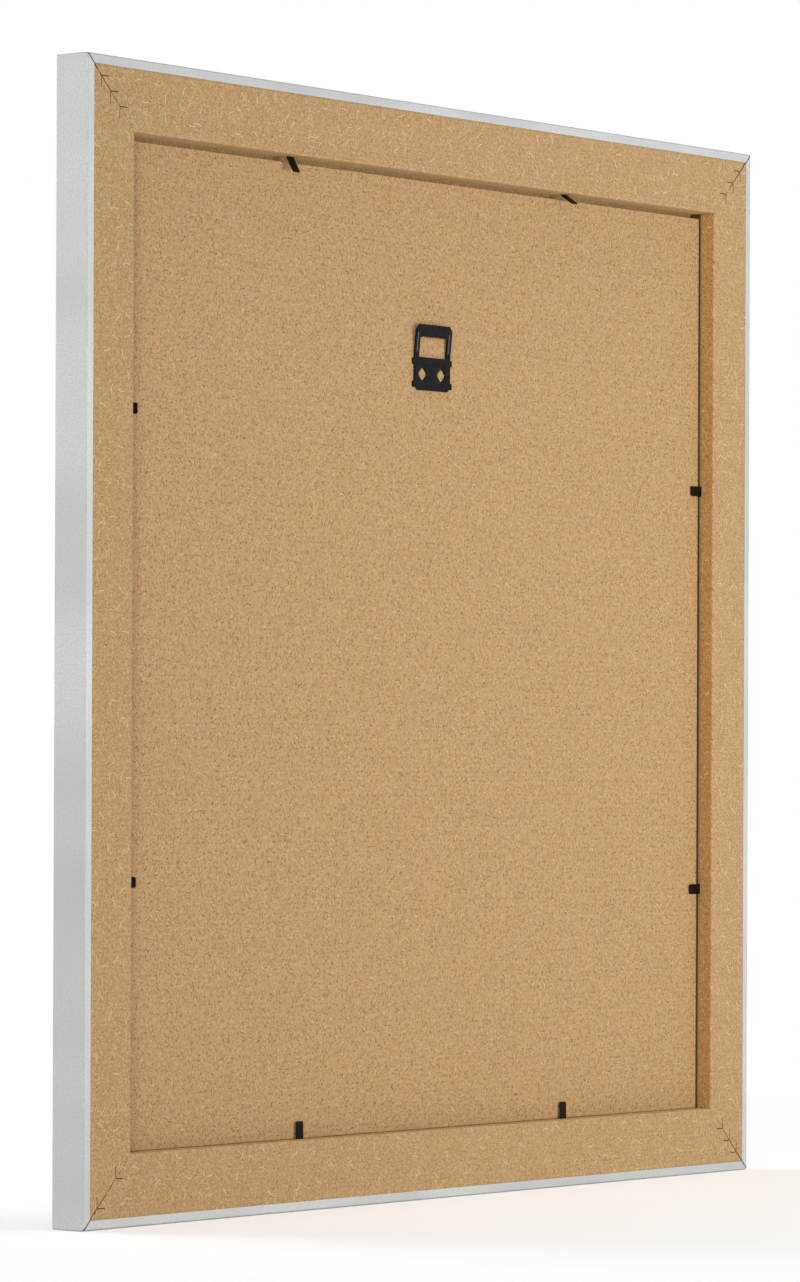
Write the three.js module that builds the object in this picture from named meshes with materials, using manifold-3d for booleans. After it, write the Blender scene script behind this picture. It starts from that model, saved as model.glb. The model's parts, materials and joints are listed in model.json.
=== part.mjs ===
// Square picture frame, made to be hung: four foil-wrapped MDF rails, mitred and nailed at the
// corners, hold a loose pack of glazing, insert sheet and back panel. Bendable points in the rebate
// keep the pack in place, and a stamped hanger on the panel takes the nail in the wall.
//
// Millimetres, +Z up. The wall plane is Y = 0 and the picture faces -Y. Left and right are as seen
// from behind, so left is +X. The origin is the nail point, on the frame's centre line: the hanger
// sits one tooth to the right of it, so that the nail takes the notch beside its middle one.

import * as THREE from 'three';
import { mergeVertices } from 'three/addons/utils/BufferGeometryUtils.js';
import Module from 'manifold-3d';

const wasm = await Module();
wasm.setup();

// Rails: the section is an L, a thick back part with a thin front lip that covers the glazing's edge
const frameWidth = 572;
const frameHeight = 572;
const railDepth = 20.6;
const railWidth = 35.8;
const lipWidth = 5;
const lipThickness = 5.3;
const edgeRadius = 1;
const rebateEdgeRadius = 1.1;
const foilThickness = 0.3;
const foilReturn = 4.8;
const mitreGap = 0.3;
const arcSteps = 4;

// V-nails: the outer one's apex is this far from both outer edges of its corner, and the inner one's
// legs end this far from the rebate wall
const vNailOuterInset = 10.1;
const vNailInnerMargin = 5.7;
const vNailLeg = 6.1;
const vNailThickness = 0.5;
const vNailHeight = 10;
const vNailSunk = 0.2;
const slotGap = 0.3;

// Glazing, insert and panel: cut alike, smaller than the rebate, and resting on the bottom rail
const packSideGap = 1.2;
const packTopGap = 2.9;
const packBottomGap = 0.3;
const glazingThickness = 2;
const insertThickness = 0.4;
const panelThickness = 3;

// Flex points: strips pushed into the rebate wall above the panel, bent by hand over its edge.
// flexRise is the bend line's height above the panel. along: place from the middle of the rail,
// upwards or to the left. lift: degrees up from flat, below zero where the tip dips to the panel.
const flexWidth = 5.5;
const flexThickness = 0.6;
const flexShankLength = 6.5;
const flexPointTaper = 2;
const flexTabLength = 8.5;
const flexRise = 1.3;
const flexGap = 0.3;
const flexPoints = {
  right: [
    { place: 'upper', along: 94.8, lift: -3 },
    { place: 'lower', along: -127.6, lift: -3 },
  ],
  top: [
    { place: 'left', along: 118.3, lift: 29 },
    { place: 'right', along: -119.05, lift: 57 },
  ],
  left: [
    { place: 'upper', along: 115.6, lift: 24 },
    { place: 'lower', along: -117.4, lift: 24 },
  ],
  bottom: [
    { place: 'left', along: 107.6, lift: -1 },
    { place: 'right', along: -121, lift: -1 },
  ],
};

// Hanger: a stamped plate, fixed by two crowns of points. Its foot is flat, and from the foot of the
// window on it leans away from the panel, so that the top of its rim stands off by hangerStandoff.
const hangerDrop = 119.9;
const hangerWidth = 30.7;
const hangerThickness = 1;
const hangerStandoff = 1.7;
const hangerRimHeight = 5.9;
const hangerFootHeight = 17.4;
const hangerChamfer = 2.5;
const windowWidth = 23.4;
const windowHeight = 11.2;
const toothPitch = 2.3;
const toothDepth = 0.9;
const earReach = 1.4;
const earHeight = 3.2;
const earDrops = [13.5, 25.6];
const crownSpacing = 16;
const crownDrop = 20.1;
const crownSides = 4;
const crownApothem = 2.4;
const crownPointLength = 2;
const crownPointThickness = 0.5;
const crownGap = 0.3;

// Levels along Y, from the wall plane to the front
const mdfBack = -foilThickness;
const front = -railDepth;
const rebateFloor = front + lipThickness;
const glazingBack = rebateFloor + glazingThickness;
const insertBack = glazingBack + insertThickness;
const panelBack = insertBack + panelThickness;
const flexAxisY = panelBack + flexRise;

// Places in the frame's plane
const frontWidth = railWidth + lipWidth;
const frameCentreZ = hangerDrop - frameHeight / 2;
const hangerCentreX = -toothPitch;
const flexAxisInset = railWidth + flexGap + flexThickness / 2;
const mitreSetback = mitreGap / Math.SQRT2;
const vNailInnerInset = railWidth - vNailInnerMargin - vNailLeg;
const vNailMiddleInset = (vNailOuterInset + vNailInnerInset) / 2;

const weldDistance = 1e-4;
const cutMargin = 2;

const mdf = { color: 0xbd9a70, roughness: 0.9, metalness: 0 };
const silverFoil = { color: 0xc6c8c6, roughness: 0.42, metalness: 0.35 };
const nailSteel = { color: 0x3a3631, roughness: 0.5, metalness: 0.8 };
const flexSteel = { color: 0x33291f, roughness: 0.45, metalness: 0.7 };
const blackSteel = { color: 0x1f1d1d, roughness: 0.4, metalness: 0.5 };
const fibreboard = { color: 0xb8915f, roughness: 0.8, metalness: 0 };
const clearGlass = { color: 0xe6efec, roughness: 0.05, metalness: 0, transparent: true, opacity: 0.35 };
const plainPaper = { color: 0xf1eee6, roughness: 0.9, metalness: 0 };

/** A closed solid for joining and cutting, from a closed geometry. */
function solidOf(geometry) {
  const bare = geometry.clone();
  bare.deleteAttribute('normal');
  bare.deleteAttribute('uv');
  const welded = mergeVertices(bare, weldDistance);
  return new wasm.Manifold(new wasm.Mesh({
    numProp: 3,
    vertProperties: new Float32Array(welded.getAttribute('position').array),
    triVerts: new Uint32Array(welded.getIndex().array),
  }));
}

/** The geometry of a solid that has been joined or cut. */
function geometryOf(solid) {
  const { vertProperties, triVerts } = solid.getMesh();
  const geometry = new THREE.BufferGeometry();
  geometry.setAttribute('position', new THREE.BufferAttribute(vertProperties, 3));
  geometry.setIndex(new THREE.BufferAttribute(triVerts, 1));
  geometry.computeVertexNormals();
  return geometry;
}

/** A geometry with other closed geometries cut out of it, one after the other. */
function cut(geometry, cutters) {
  const start = solidOf(geometry);
  return geometryOf(cutters.reduce((solid, cutter) => solid.subtract(solidOf(cutter)), start));
}

function named(name, geometry, finish) {
  const mesh = new THREE.Mesh(geometry, new THREE.MeshStandardMaterial(finish));
  mesh.name = name;
  return mesh;
}

function shapeOf(points) {
  return new THREE.Shape(points.map(([x, y]) => new THREE.Vector2(x, y)));
}

/** Points of a quarter circle, from a start angle in degrees, counter-clockwise. */
function quarterArc(centreX, centreY, radius, startDegrees) {
  const points = [];
  for (let step = 0; step <= arcSteps; step += 1) {
    const angle = THREE.MathUtils.degToRad(startDegrees + (90 * step) / arcSteps);
    points.push([centreX + radius * Math.cos(angle), centreY + radius * Math.sin(angle)]);
  }
  return points;
}

/** A prism whose outline lies in X and Z. It reaches from the level top down to top - depth along Y. */
function prism(outline, top, depth, hole = null) {
  const shape = shapeOf(outline);
  if (hole) shape.holes.push(new THREE.Path(shapeOf(hole).getPoints()));
  const geometry = new THREE.ExtrudeGeometry(shape, { depth, bevelEnabled: false });
  return geometry.rotateX(Math.PI / 2).translate(0, top, 0);
}

// Rail section, as distance inwards from the outer edge and level along Y.

/** The foil's path round the section, at an inset from its outer surface, from back to sight edge. */
function foilPath(inset) {
  const radius = edgeRadius - inset;
  return [
    [foilReturn, -inset],
    ...quarterArc(edgeRadius, -edgeRadius, radius, 90),
    ...quarterArc(edgeRadius, front + edgeRadius, radius, 180),
    ...quarterArc(frontWidth - edgeRadius, front + edgeRadius, radius, 270),
    [frontWidth - inset, rebateFloor],
  ];
}

function foilSection() {
  return [...foilPath(0), ...foilPath(foilThickness).reverse()];
}

function coreSection() {
  const roundingX = railWidth - rebateEdgeRadius;
  const roundingY = mdfBack - rebateEdgeRadius;
  return [
    ...foilPath(foilThickness),
    [railWidth, rebateFloor],
    ...quarterArc(roundingX, roundingY, rebateEdgeRadius, 0),
  ];
}

/** A section swept along a rail whose outer edge has this length, with both ends mitred. */
function mitredBar(section, length) {
  const geometry = new THREE.ExtrudeGeometry(shapeOf(section), { depth: length, bevelEnabled: false });
  geometry.translate(0, 0, -length / 2);
  const position = geometry.getAttribute('position');
  for (let index = 0; index < position.count; index += 1) {
    const reach = length / 2 - position.getX(index) - mitreSetback;
    position.setZ(index, Math.sign(position.getZ(index)) * reach);
  }
  geometry.computeVertexNormals();
  return geometry;
}

/** Outline of a V-nail with its apex at equal insets from both edges, grown by a margin all round. */
function vNailOutline(inset, margin) {
  const low = inset - margin;
  const inner = inset + vNailThickness + margin;
  const end = inset + vNailLeg + margin;
  return [[low, low], [end, low], [end, inner], [inner, inner], [inner, end], [low, end]];
}

/** A V-nail, or its slot when grown, at one end of a rail: end is -1 or 1 along the rail. */
function vNailPrism(inset, margin, length, end) {
  const outline = vNailOutline(inset, margin).map(([x, z]) => [x, end * (length / 2 - z)]);
  const top = mdfBack - vNailSunk + (margin > 0 ? cutMargin : 0);
  return prism(outline, top, top - (mdfBack - vNailSunk - vNailHeight - margin));
}

/** A flex point's shank, which ends in a blunt point inside the rail, or its slot when grown. */
function flexShank(along, margin) {
  const mouth = railWidth + (margin > 0 ? cutMargin : 0);
  const tip = railWidth - flexShankLength - margin;
  const half = flexWidth / 2 + margin;
  const tipHalf = half - flexPointTaper;
  const shoulder = tip + flexPointTaper;
  const outline = [
    [mouth, along - half],
    [mouth, along + half],
    [shoulder, along + half],
    [tip, along + tipHalf],
    [tip, along - tipHalf],
    [shoulder, along - half],
  ];
  const halfThickness = flexThickness / 2 + margin;
  return prism(outline, flexAxisY + halfThickness, 2 * halfThickness);
}

/** A flex point's tab, lying along +X from its bend line, with a round root and a round tip. */
function flexTab() {
  const radius = flexThickness / 2;
  const side = new THREE.Shape();
  side.absarc(0, 0, radius, Math.PI / 2, (3 * Math.PI) / 2);
  side.absarc(flexTabLength - radius, 0, radius, -Math.PI / 2, Math.PI / 2);
  const geometry = new THREE.ExtrudeGeometry(side, {
    depth: flexWidth,
    bevelEnabled: false,
    curveSegments: 2 * arcSteps,
  });
  return geometry.translate(0, 0, -flexWidth / 2);
}

// The four sides in the order of their quarter turns. A rail is modelled as the right one, with its
// outer edge at x = 0 and its length along Z, and its first corner is at the low end.
const sides = [
  { side: 'right', corner: 'bottom_right', turn: 0, across: frameWidth, length: frameHeight, up: 1 },
  { side: 'top', corner: 'top_right', turn: Math.PI / 2, across: frameHeight, length: frameWidth, up: 1 },
  { side: 'left', corner: 'top_left', turn: Math.PI, across: frameWidth, length: frameHeight, up: -1 },
  { side: 'bottom', corner: 'bottom_left', turn: -Math.PI / 2, across: frameHeight, length: frameWidth, up: -1 },
];

/** Distance of each nail's apex from the two outer edges. The bottom left corner has no middle nail. */
function nailInsets(corner) {
  const middle = corner === 'bottom_left' ? [] : [vNailMiddleInset];
  return [vNailOuterInset, ...middle, vNailInnerInset];
}

function railGroup(index) {
  const { side, corner, turn, across, length, up } = sides[index];
  const nextCorner = sides[(index + 1) % sides.length].corner;
  const points = flexPoints[side];
  const cutters = [
    ...nailInsets(corner).map((inset) => vNailPrism(inset, slotGap, length, -1)),
    ...nailInsets(nextCorner).map((inset) => vNailPrism(inset, slotGap, length, 1)),
    ...points.map(({ along }) => flexShank(up * along, slotGap)),
  ];
  const pieces = new THREE.Group();
  pieces.add(named(`rail_${side}`, cut(mitredBar(coreSection(), length), cutters), mdf));
  pieces.add(named(`foil_${side}`, mitredBar(foilSection(), length), silverFoil));
  nailInsets(corner).forEach((inset, order) => {
    const name = `v_nail_${corner}_${order + 1}`;
    pieces.add(named(name, vNailPrism(inset, 0, length, -1), nailSteel));
  });
  for (const { place, along, lift } of points) {
    pieces.add(named(`flex_shank_${side}_${place}`, flexShank(up * along, 0), flexSteel));
    const tab = named(`flex_tab_${side}_${place}`, flexTab(), flexSteel);
    tab.position.set(flexAxisInset, flexAxisY, up * along);
    tab.rotation.z = THREE.MathUtils.degToRad(lift);
    pieces.add(tab);
  }
  pieces.position.x = -across / 2;
  const turned = new THREE.Group();
  turned.rotation.y = turn;
  turned.add(pieces);
  return turned;
}

/** One sheet of the pack, with its back at a level along Y. */
function packSheet(back, thickness) {
  const width = frameWidth - 2 * railWidth - 2 * packSideGap;
  const bottom = hangerDrop - frameHeight + railWidth + packBottomGap;
  const top = hangerDrop - railWidth - packTopGap;
  const outline = [[-width / 2, bottom], [width / 2, bottom], [width / 2, top], [-width / 2, top]];
  return prism(outline, back, thickness);
}

/** Outline of a crown's hole: a regular polygon with a corner at the top. */
function crownOutline(centreX, centreZ, apothem) {
  const reach = apothem / Math.cos(Math.PI / crownSides);
  return Array.from({ length: crownSides }, (_, corner) => {
    const angle = Math.PI / 2 + (2 * Math.PI * corner) / crownSides;
    return [centreX + reach * Math.cos(angle), centreZ + reach * Math.sin(angle)];
  });
}

const crownCentres = [-1, 1].map((sign) => [hangerCentreX + (sign * crownSpacing) / 2, -crownDrop]);

/** The panel has a narrow groove round each crown, where its points were pressed in. */
function backPanel() {
  const grooves = crownCentres.map(([x, z]) => prism(
    crownOutline(x, z, crownApothem + crownPointThickness + crownGap),
    panelBack + cutMargin,
    cutMargin + crownPointLength + crownGap,
    crownOutline(x, z, crownApothem - crownGap),
  ));
  return cut(packSheet(panelBack, panelThickness), grooves);
}

/** The points of one crown, one from each edge of its hole, bent into the panel. */
function crownPoints(centreX, centreZ) {
  const half = crownApothem * Math.tan(Math.PI / crownSides);
  const triangle = shapeOf([
    [-half, panelBack + hangerThickness / 2],
    [-half, panelBack],
    [0, panelBack - crownPointLength],
    [half, panelBack],
    [half, panelBack + hangerThickness / 2],
  ]);
  const depth = 2 * crownPointThickness;
  return Array.from({ length: crownSides }, (_, edge) => {
    const point = new THREE.ExtrudeGeometry(triangle, { depth, bevelEnabled: false });
    point.translate(0, 0, crownApothem - crownPointThickness);
    point.rotateY(((2 * edge + 1) * Math.PI) / crownSides);
    return point.translate(centreX, 0, centreZ);
  });
}

function hangerOutline() {
  const half = hangerWidth / 2;
  const bottom = -windowHeight - hangerFootHeight;
  const ears = earDrops.flatMap((drop) => [
    [half, -drop + earHeight / 2],
    [half + earReach, -drop + earHeight / 2],
    [half + earReach, -drop - earHeight / 2],
    [half, -drop - earHeight / 2],
  ]);
  const rightHalf = [
    [half - hangerChamfer, hangerRimHeight],
    [half, hangerRimHeight - hangerChamfer],
    ...ears,
    [half, bottom + hangerChamfer],
    [half - hangerChamfer, bottom],
  ];
  const leftHalf = rightHalf.map(([x, z]) => [-x, z]).reverse();
  return [...rightHalf, ...leftHalf].map(([x, z]) => [hangerCentreX + x, z]);
}

/** The window's outline: its upper edge is a row of notches that reach z = 0, one of them in the middle. */
function windowOutline() {
  const half = windowWidth / 2;
  const notchesEachWay = Math.floor((half - toothPitch / 2) / toothPitch);
  const outline = [[half, -windowHeight], [-half, -windowHeight], [-half, -toothDepth]];
  for (let notch = -notchesEachWay; notch <= notchesEachWay; notch += 1) {
    outline.push([(notch - 0.5) * toothPitch, -toothDepth], [notch * toothPitch, 0]);
  }
  outline.push([(notchesEachWay + 0.5) * toothPitch, -toothDepth], [half, -toothDepth]);
  return outline.map(([x, z]) => [hangerCentreX + x, z]);
}

/** The plate seen from its side: a flat foot, and legs and rim that lean away from the panel. */
function hangerSideSection() {
  const bottom = -windowHeight - hangerFootHeight;
  const under = [
    [bottom, panelBack],
    [-windowHeight, panelBack],
    [hangerRimHeight, panelBack + hangerStandoff],
  ];
  const over = under.map(([z, y]) => [z, y + hangerThickness]).reverse();
  return [...under, ...over];
}

function hanger() {
  const fullWidth = hangerWidth + 2 * earReach + 2 * cutMargin;
  const bent = new THREE.ExtrudeGeometry(shapeOf(hangerSideSection()), { depth: fullWidth, bevelEnabled: false });
  bent.translate(0, 0, -fullWidth / 2).rotateY(-Math.PI / 2).translate(hangerCentreX, 0, 0);
  const top = panelBack + hangerStandoff + hangerThickness + cutMargin;
  const through = hangerStandoff + hangerThickness + crownPointLength + 2 * cutMargin;
  let plate = solidOf(bent).intersect(solidOf(prism(hangerOutline(), top, through)));
  plate = plate.subtract(solidOf(prism(windowOutline(), top, through)));
  for (const [x, z] of crownCentres) {
    for (const point of crownPoints(x, z)) plate = plate.add(solidOf(point));
    plate = plate.subtract(solidOf(prism(crownOutline(x, z, crownApothem), top, through)));
  }
  return geometryOf(plate);
}

const pictureFrame = new THREE.Group();

const railAssembly = new THREE.Group();
railAssembly.position.z = frameCentreZ;
sides.forEach((_, index) => railAssembly.add(railGroup(index)));
pictureFrame.add(railAssembly);

pictureFrame.add(named('glazing', packSheet(glazingBack, glazingThickness), clearGlass));
pictureFrame.add(named('insert_sheet', packSheet(insertBack, insertThickness), plainPaper));
pictureFrame.add(named('back_panel', backPanel(), fibreboard));
pictureFrame.add(named('hanger', hanger(), blackSteel));

export default pictureFrame;
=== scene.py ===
# %% [markdown]
# # A picture frame, seen from behind
# A square frame stands with its back to us: four foil-wrapped MDF rails, a thin board that closes the
# back, a toothed hanger, and small bent steel points that hold everything in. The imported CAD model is
# the fixed frame that every piece below is built around. We load it first and keep its box, because
# the finished model has to stay inside it.

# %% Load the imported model
import json
import math
from contextlib import contextmanager

import bmesh
import bpy
from mathutils import Matrix, Vector


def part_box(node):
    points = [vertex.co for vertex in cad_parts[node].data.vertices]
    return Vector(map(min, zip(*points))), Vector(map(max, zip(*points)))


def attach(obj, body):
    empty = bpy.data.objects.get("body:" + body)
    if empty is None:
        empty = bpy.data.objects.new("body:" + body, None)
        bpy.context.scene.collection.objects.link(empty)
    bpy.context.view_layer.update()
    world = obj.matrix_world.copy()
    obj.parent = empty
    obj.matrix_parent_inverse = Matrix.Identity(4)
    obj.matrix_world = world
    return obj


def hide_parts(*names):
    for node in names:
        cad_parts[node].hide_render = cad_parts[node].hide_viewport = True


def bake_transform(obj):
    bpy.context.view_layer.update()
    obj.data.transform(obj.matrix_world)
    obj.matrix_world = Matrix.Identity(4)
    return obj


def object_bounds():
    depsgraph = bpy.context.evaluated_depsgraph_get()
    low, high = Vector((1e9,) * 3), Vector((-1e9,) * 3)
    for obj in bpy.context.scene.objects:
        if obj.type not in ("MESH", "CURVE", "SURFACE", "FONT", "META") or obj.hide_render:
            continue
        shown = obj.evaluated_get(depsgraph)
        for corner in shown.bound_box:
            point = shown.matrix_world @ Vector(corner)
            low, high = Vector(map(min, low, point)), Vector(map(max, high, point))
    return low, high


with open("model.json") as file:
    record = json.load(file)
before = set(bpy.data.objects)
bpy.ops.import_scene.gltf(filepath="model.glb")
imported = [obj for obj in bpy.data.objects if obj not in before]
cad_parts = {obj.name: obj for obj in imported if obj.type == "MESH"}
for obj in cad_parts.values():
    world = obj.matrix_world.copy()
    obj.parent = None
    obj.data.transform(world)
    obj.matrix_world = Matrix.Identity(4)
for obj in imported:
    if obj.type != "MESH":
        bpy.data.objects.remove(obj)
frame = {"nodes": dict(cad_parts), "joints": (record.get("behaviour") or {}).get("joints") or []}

MM = 0.001
cad_low, cad_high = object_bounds()


def in_mm(*lengths):
    """Lengths in millimetres, for printing."""
    return [round(length / MM, 2) for length in lengths]


print("CAD box in mm", in_mm(*cad_low, *cad_high))

# %% [markdown]
# ## Sizes
# Blender works in metres here, in the same axes as the CAD model: the wall plane is Y = 0, the picture
# faces -Y and +Z is up. Most sizes can be read from the boxes of CAD nodes. The few that no box shows,
# such as the rounding of an edge, are written once below.

# %% Sizes of the rails and the rebate
outer_half = (cad_high.x - cad_low.x) / 2
centre_z = (cad_high.z + cad_low.z) / 2
front = cad_low.y
mdf_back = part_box("rail_right")[1].y
foil_thickness = cad_high.y - mdf_back
rail_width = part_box("flex_shank_right_upper")[1].x - cad_low.x
front_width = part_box("foil_right")[1].x - cad_low.x
rebate_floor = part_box("glazing")[0].y
panel_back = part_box("back_panel")[1].y
edge_radius = 1.0 * MM
rebate_edge_radius = 1.1 * MM
foil_return = 4.8 * MM
turns = {"right": 0, "top": 90, "left": 180, "bottom": -90}
print("rail width, front width and depth in mm", in_mm(rail_width, front_width, cad_high.y - cad_low.y))

# %% [markdown]
# ## A few small helpers
# Colours are written as sRGB hex values, the way a paint chip or a colour picker gives them, and turned
# to linear light by one function. Another adds a node to any tree, sets its options and feeds its inputs,
# either with a plain value or from another node. Everything procedural below, both materials and
# geometry, goes through it.

# %% Colour and node helpers
def colour(hex_text):
    """Linear RGBA of an sRGB hex colour."""
    channels = [int(hex_text[i:i + 2], 16) / 255 for i in (1, 3, 5)]
    return [c / 12.92 if c <= 0.04045 else ((c + 0.055) / 1.055) ** 2.4 for c in channels] + [1.0]


def per(size_mm):
    """Texture scale at which one feature is about this many millimetres wide."""
    return 1 / (size_mm * MM)


def add(tree, kind, inputs=None, **options):
    """Adds a node, sets its options, and feeds its inputs with values, with outputs of other nodes, or with
    other nodes, which stand for their first output."""
    node = tree.nodes.new(kind)
    for name, value in options.items():
        setattr(node, name, value)
    for key, value in (inputs or {}).items():
        if isinstance(value, bpy.types.Node):
            value = value.outputs[0]
        if isinstance(value, bpy.types.NodeSocket):
            tree.links.new(value, node.inputs[key])
        else:
            node.inputs[key].default_value = value
    return node


def new_material(name):
    """An empty material, its tree, and the object's own coordinates in it."""
    material = bpy.data.materials.new(name)
    material.use_nodes = True
    tree = material.node_tree
    tree.nodes.clear()
    return material, tree, add(tree, "ShaderNodeTexCoord").outputs["Object"]


print("colour and node helpers ready")

# %% [markdown]
# ## Materials
# Every finish below is built up the way a painter would do it. A base tone comes first. Then one colour
# after another is laid over it, each through a mask that says where it shows: soft patches of noise, or
# zones that follow a measure, such as the distance from an edge. A fine relief and the gloss come last.

# %% Patterns for all finishes
def grain(tree, place, size_mm, detail, shift):
    """Noise whose patches are about this wide. The shift picks another part of the pattern."""
    moved = add(tree, "ShaderNodeVectorMath", {0: place, 1: (shift, shift, shift)}, operation="ADD")
    return add(tree, "ShaderNodeTexNoise", {"Vector": moved, "Scale": per(size_mm), "Detail": detail})


def zone(tree, value, low, high, *masks):
    """A mask that goes softly from 0 to 1 as a value goes from low to high, kept inside other masks."""
    inside = add(tree, "ShaderNodeMapRange", {0: value, 1: low, 2: high}, interpolation_type="SMOOTHSTEP")
    for mask in masks:
        inside = add(tree, "ShaderNodeMath", {0: inside, 1: mask}, operation="MULTIPLY")
    return inside


def lay(tree, tone, hex_text, strength, *masks):
    """Lays a colour over a tone, as strongly as given, where all the masks are 1."""
    for mask in masks:
        strength = add(tree, "ShaderNodeMath", {0: mask, 1: strength}, operation="MULTIPLY")
    mixed = add(tree, "ShaderNodeMix", {0: strength, 6: tone, 7: colour(hex_text)}, data_type="RGBA")
    return mixed.outputs[2]


def surface(tree, tone, relief, strength, height_mm, gloss):
    """Ends an opaque material: a fine relief, and a shader with these settings of its gloss."""
    bump = add(tree, "ShaderNodeBump", {"Height": relief, "Strength": strength, "Distance": height_mm * MM})
    shader = add(tree, "ShaderNodeBsdfPrincipled", {"Base Color": tone, "Normal": bump, **gloss})
    add(tree, "ShaderNodeOutputMaterial", {"Surface": shader})


def facing(tree):
    """Which way a surface faces, as its normal's X, Y and Z."""
    normal = add(tree, "ShaderNodeNewGeometry").outputs["Normal"]
    return add(tree, "ShaderNodeSeparateXYZ", {0: normal}).outputs


print("pattern helpers ready")

# %% [markdown]
# ### Bare MDF
# The rails are machined from MDF, which is wood fibre pressed with resin. Up close it is a yellowish tan
# felt: soft cloudy patches, fine grain, short fibres that lie every way, a few long pale hairs, and specks
# of bark. Thousands of fibres are needed, so none is a curve: a random grid of cells gives each fibre its
# place, its turn and its chance of being there, and the distance to a bowed line draws it. The rebate's side
# walls are painted browner, partly the tone of cut MDF and partly painted warm bounce light from the panel.
# Painted shade lies on them in a grey band and a dark line where the gap beside the panel is. The saw left a
# burnt line along each mitre, which fades from the outer corner on.

# %% Fibres and specks of a board
HAIR_HALF, HAIR_CORE = 0.26 * MM, 0.09 * MM
HAIR_BOW = 0.5
HAIR_END, HAIR_TAPER = 0.5, 0.3
CHANCE_STEP = 0.02
SPECK_CORE = 0.4
SPECK_CHANCE = (0.55, 0.6)


def flat_place(tree, place):
    """A place laid flat: X and Z, each sheared by Y so that walls don't come out striped."""
    x, y, z = add(tree, "ShaderNodeSeparateXYZ", {0: place}).outputs
    across = add(tree, "ShaderNodeMath", {0: x, 1: y}, operation="ADD")
    up = add(tree, "ShaderNodeMath", {0: z, 1: y}, operation="ADD")
    return add(tree, "ShaderNodeCombineXYZ", {0: across, 1: up})


def hairs(tree, flat, spacing_mm, length_mm, kept, shift):
    """Bowed hairs, 1 on a hair and 0 between. They are drawn about 0.35 mm wide, so that they show."""
    moved = add(tree, "ShaderNodeVectorMath", {0: flat, 1: (shift, shift, 0.0)}, operation="ADD")
    cells = add(tree, "ShaderNodeTexVoronoi", {"Vector": moved, "Scale": per(spacing_mm)},
                voronoi_dimensions="2D").outputs
    local = add(tree, "ShaderNodeVectorMath", {0: moved, 1: cells["Position"]}, operation="SUBTRACT")
    chance = add(tree, "ShaderNodeSeparateColor", {0: cells["Color"]}).outputs
    angle = add(tree, "ShaderNodeMath", {0: chance[0], 1: math.tau}, operation="MULTIPLY")
    turned = add(tree, "ShaderNodeVectorRotate", {"Vector": local, "Angle": angle}, rotation_type="Z_AXIS")
    x, y, _ = add(tree, "ShaderNodeSeparateXYZ", {0: turned}).outputs
    square = add(tree, "ShaderNodeMath", {0: x, 1: x}, operation="MULTIPLY")
    length = length_mm * MM
    bowed = add(tree, "ShaderNodeMath", {0: square, 1: HAIR_BOW / length, 2: y}, operation="MULTIPLY_ADD")
    beside = add(tree, "ShaderNodeMath", {0: bowed}, operation="ABSOLUTE")
    along = add(tree, "ShaderNodeMath", {0: x}, operation="ABSOLUTE")
    ends = zone(tree, along, length * HAIR_END, length * HAIR_TAPER)
    chosen = zone(tree, chance[1], 1 - kept, 1 - kept + CHANCE_STEP)
    return zone(tree, beside, HAIR_HALF, HAIR_CORE, ends, chosen)


def specks(tree, place, spacing_mm, radius_mm, shift):
    """Dots of bark, one in some of the cells of a random grid."""
    moved = add(tree, "ShaderNodeVectorMath", {0: place, 1: (shift, shift, shift)}, operation="ADD")
    cells = add(tree, "ShaderNodeTexVoronoi", {"Vector": moved, "Scale": per(spacing_mm)}).outputs
    chosen = zone(tree, add(tree, "ShaderNodeSeparateColor", {0: cells["Color"]}), *SPECK_CHANCE)
    radius = radius_mm / spacing_mm
    return zone(tree, cells["Distance"], radius, radius * SPECK_CORE, chosen)


def fibre_felt(tree, place, tone, grains, fibres, bark):
    """Lays a board's grain, fibres and specks of bark over its tone."""
    for size_mm, detail, shift, low, high, strength, hex_text in grains:
        patches = zone(tree, grain(tree, place, size_mm, detail, shift), low, high)
        tone = lay(tree, tone, hex_text, strength, patches)
    flat = flat_place(tree, place)
    for spacing_mm, length_mm, kept, shift, strength, hex_text in fibres:
        tone = lay(tree, tone, hex_text, strength, hairs(tree, flat, spacing_mm, length_mm, kept, shift))
    for spacing_mm, radius_mm, shift, strength, hex_text in bark:
        tone = lay(tree, tone, hex_text, strength, specks(tree, place, spacing_mm, radius_mm, shift))
    return tone


print("board patterns ready")

# %% The MDF of the rails
wall_edge = 0.5 * MM
glue_and_shade_width = 0.4 * MM
burn_edge, burn_core = 0.75 * MM, 0.35 * MM
burn_start, burn_end = 4 * MM, 26 * MM


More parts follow.
